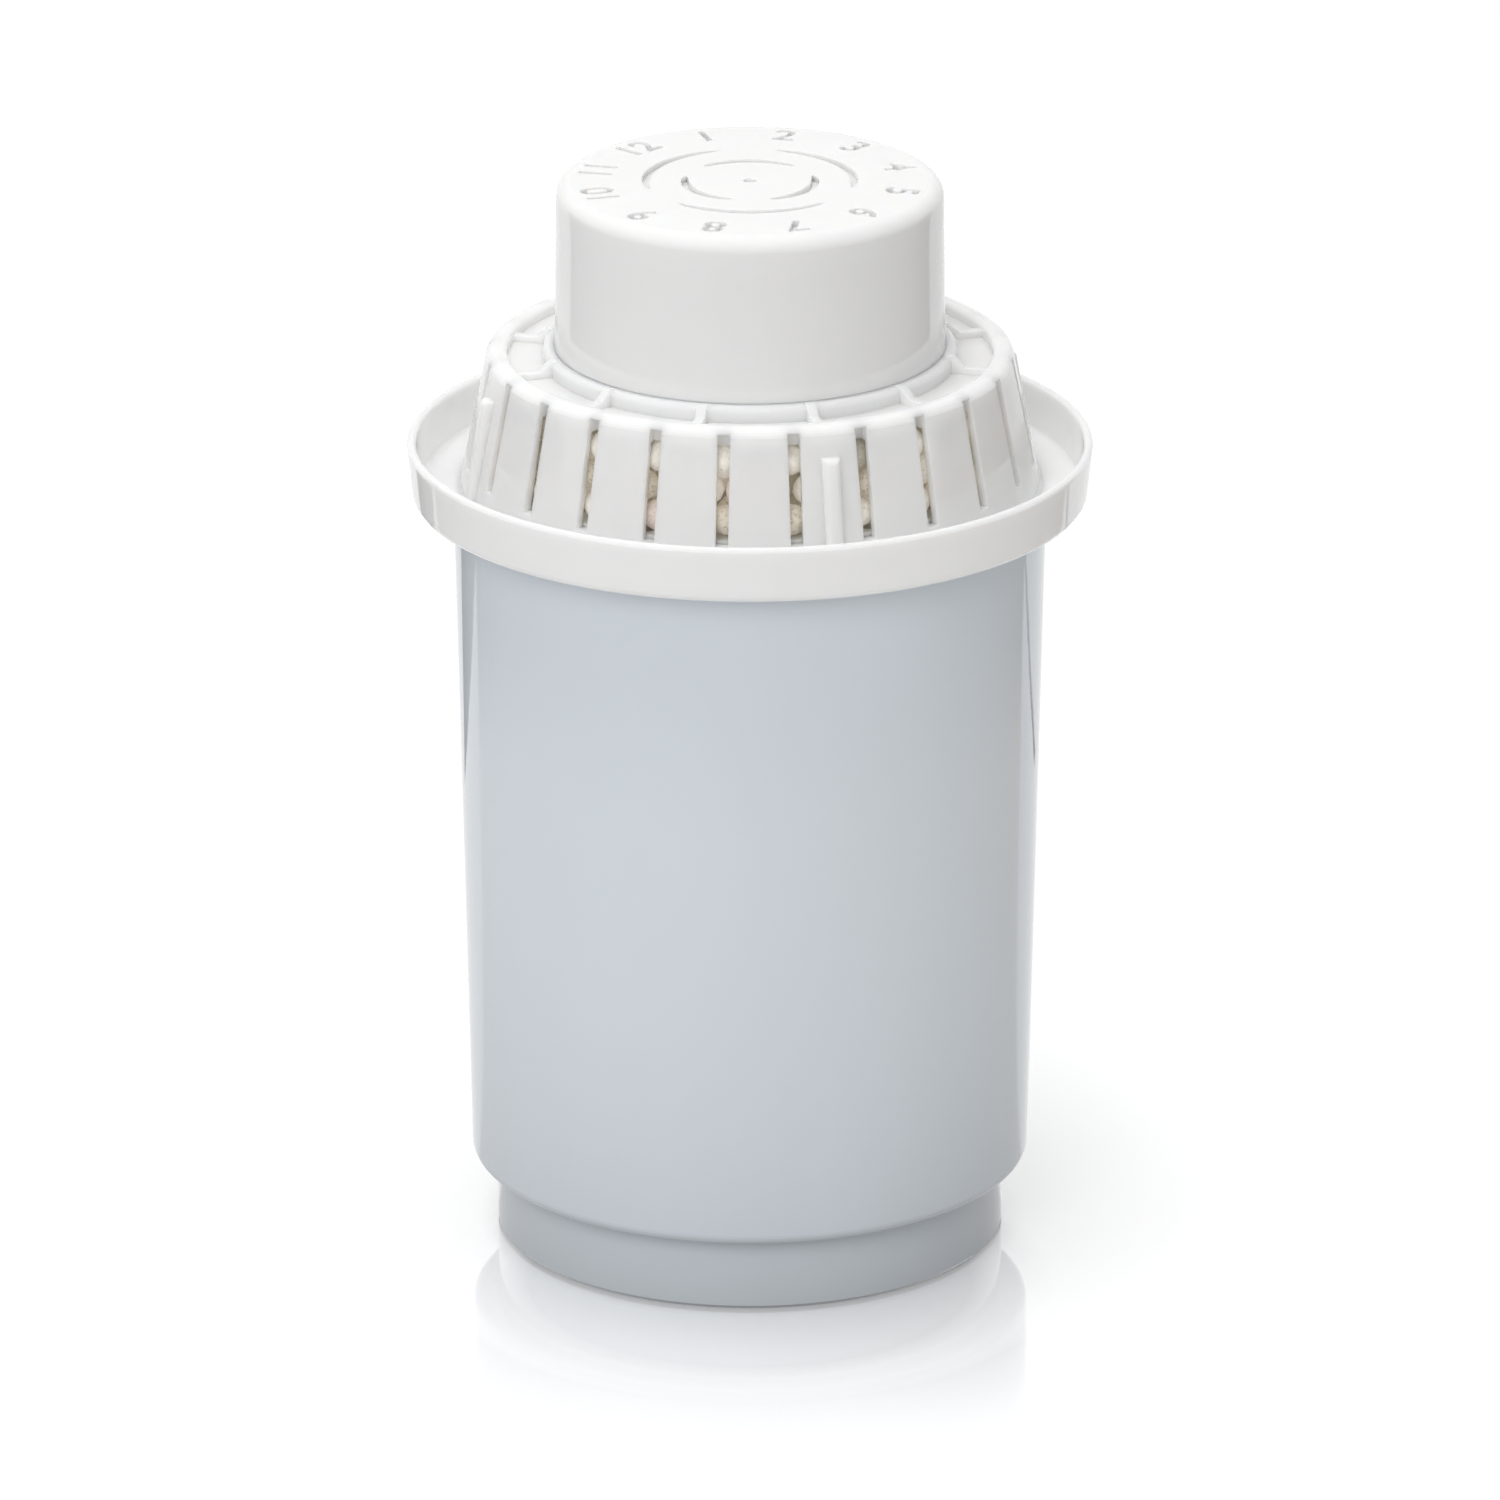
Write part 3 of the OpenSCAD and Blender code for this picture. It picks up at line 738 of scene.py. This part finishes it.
def floor_material(turn):
    """White floor as the camera, the glossy surfaces and the plain light each meet it."""
    material, tree, shader = new_material("studio_floor")
    place = tree.nodes.new("ShaderNodeTexCoord").outputs["Object"]
    near = along(tree, place, (-math.sin(turn), -math.cos(turn), 0))
    right = along(tree, place, (math.cos(turn), -math.sin(turn), 0))
    reach = length_of(tree, near, right)
    rays = tree.nodes.new("ShaderNodeLightPath")
    unseen = mix_shaders(tree, rays.outputs["Is Glossy Ray"],
                         lit_floor(tree, reach), painted_reflection_floor(tree, near, right, reach))
    seen = mix_shaders(tree, rays.outputs["Is Camera Ray"],
                       unseen, seen_floor(tree, shader, near, right, reach))

    # From below, the floor is clear
    facing = tree.nodes.new("ShaderNodeNewGeometry")
    clear = tree.nodes.new("ShaderNodeBsdfTransparent")
    from_below = product(tree, rays.outputs["Is Camera Ray"], facing.outputs["Backfacing"])
    output = [node for node in tree.nodes if node.type == "OUTPUT_MATERIAL"][0]
    surface = mix_shaders(tree, from_below, seen, clear.outputs["BSDF"])
    tree.links.new(surface, output.inputs["Surface"])
    return material


def white_world(strength, turn):
    """Plain white where it is seen or mirrored; as light, weaker from the camera's right."""
    world = bpy.data.worlds.new("studio_white")
    world.use_nodes = True
    tree = world.node_tree
    tree.nodes.clear()
    output = tree.nodes.new("ShaderNodeOutputWorld")
    light = make_node(tree, "ShaderNodeBackground", Color=WHITE)
    white = make_node(tree, "ShaderNodeBackground", Color=WHITE, Strength=1.0)
    rays = tree.nodes.new("ShaderNodeLightPath")
    place = tree.nodes.new("ShaderNodeTexCoord").outputs["Generated"]
    right = along(tree, place, (math.cos(turn), -math.sin(turn), 0))
    levels = ramp_value(tree, right, SKY_LEFT * strength, SKY_RIGHT * strength, (-1, 1))
    tree.links.new(levels, light.inputs["Strength"])
    seen = rays.outputs["Is Camera Ray"]
    for kind in ("Is Glossy Ray", "Is Transmission Ray"):
        seen = math_node(tree, "MAXIMUM", seen, rays.outputs[kind])
    surface = mix_shaders(tree, seen, light.outputs["Background"], white.outputs["Background"])
    tree.links.new(surface, output.inputs["Surface"])
    return world


def add_lamp(name, place, target, size, power):
    """A square lamp that lights but isn't seen in the floor."""
    data = bpy.data.lights.new(name, "AREA")
    data.size = size
    data.energy = power
    lamp = add_object(name, data)
    lamp.location = place
    lamp.rotation_euler = (Vector(target) - Vector(place)).to_track_quat("-Z", "Y").to_euler()
    lamp.visible_glossy = False


class CARTRIDGE_OT_studio(bpy.types.Operator):
    """Camera, white floor, white surroundings and lamps"""

    bl_idname = "cartridge.studio"
    bl_label = "Studio"

    def execute(self, context):
        scene = context.scene
        studio = scene.cartridge_studio
        data = bpy.data.cameras.new("camera")
        data.sensor_width = 36
        data.lens = studio.lens
        data.clip_end = 20
        camera = add_object("camera", data)
        camera.location = (
            -math.sin(studio.camera_turn) * studio.camera_back,
            -math.cos(studio.camera_turn) * studio.camera_back,
            studio.camera_up,
        )
        camera.rotation_euler = (math.pi / 2 - studio.camera_pitch, 0, -studio.camera_turn)
        scene.camera = camera

        half = studio.floor_size / 2
        mesh = bpy.data.meshes.new("floor")
        corners = [(-half, -half, 0), (half, -half, 0), (half, half, 0), (-half, half, 0)]
        mesh.from_pydata(corners, [], [(0, 1, 2, 3)])
        mesh.materials.append(floor_material(studio.camera_turn))
        add_object("floor", mesh)

        scene.world = white_world(studio.sky_strength, studio.camera_turn)
        middle = (0, 0, CAD_BOX[1][2] / 2)
        add_lamp("overhead_lamp", OVERHEAD_PLACE, middle, OVERHEAD_SIDE, studio.top_power)
        turn = studio.camera_turn + KEY_TURN
        key_place = (-math.sin(turn) * KEY_BACK, -math.cos(turn) * KEY_BACK, KEY_UP)
        add_lamp("key_lamp", key_place, middle, KEY_SIDE, studio.key_power)
        scene.view_settings.view_transform = "Standard"
        return {"FINISHED"}


PIECES = (
    CARTRIDGE_OT_casing,
    CARTRIDGE_OT_crown,
    CARTRIDGE_OT_balls,
    CARTRIDGE_OT_filling,
    CARTRIDGE_OT_studio,
)
SETTINGS = {
    "cartridge_casing": CasingSettings,
    "cartridge_numerals": NumeralSettings,
    "cartridge_bead": BeadSettings,
    "cartridge_balls": BallSettings,
    "cartridge_studio": StudioSettings,
}


class CARTRIDGE_PT_pieces(bpy.types.Panel):
    """Lists the cartridge's pieces and their settings"""

    bl_label = "Cartridge"
    bl_space_type = "VIEW_3D"
    bl_region_type = "UI"
    bl_category = "Cartridge"

    def draw(self, context):
        for piece in PIECES:
            self.layout.operator(piece.bl_idname)
        for name, group in SETTINGS.items():
            column = self.layout.column(heading=group.__doc__)
            for setting in group.__annotations__:
                column.prop(getattr(context.scene, name), setting)


def register():
    for cls in (*SETTINGS.values(), *PIECES, CARTRIDGE_PT_pieces):
        bpy.utils.register_class(cls)
    for name, group in SETTINGS.items():
        setattr(bpy.types.Scene, name, PointerProperty(type=group))


def unregister():
    for name in SETTINGS:
        delattr(bpy.types.Scene, name)
    for cls in reversed((*SETTINGS.values(), *PIECES, CARTRIDGE_PT_pieces)):
        bpy.utils.unregister_class(cls)


def main():
    """Makes every piece and writes the boxes of the solids and of the dressed cartridge."""
    register()
    for piece in PIECES:
        group, name = piece.bl_idname.split(".")
        getattr(getattr(bpy.ops, group), name)()


if __name__ == "__main__":
    main()
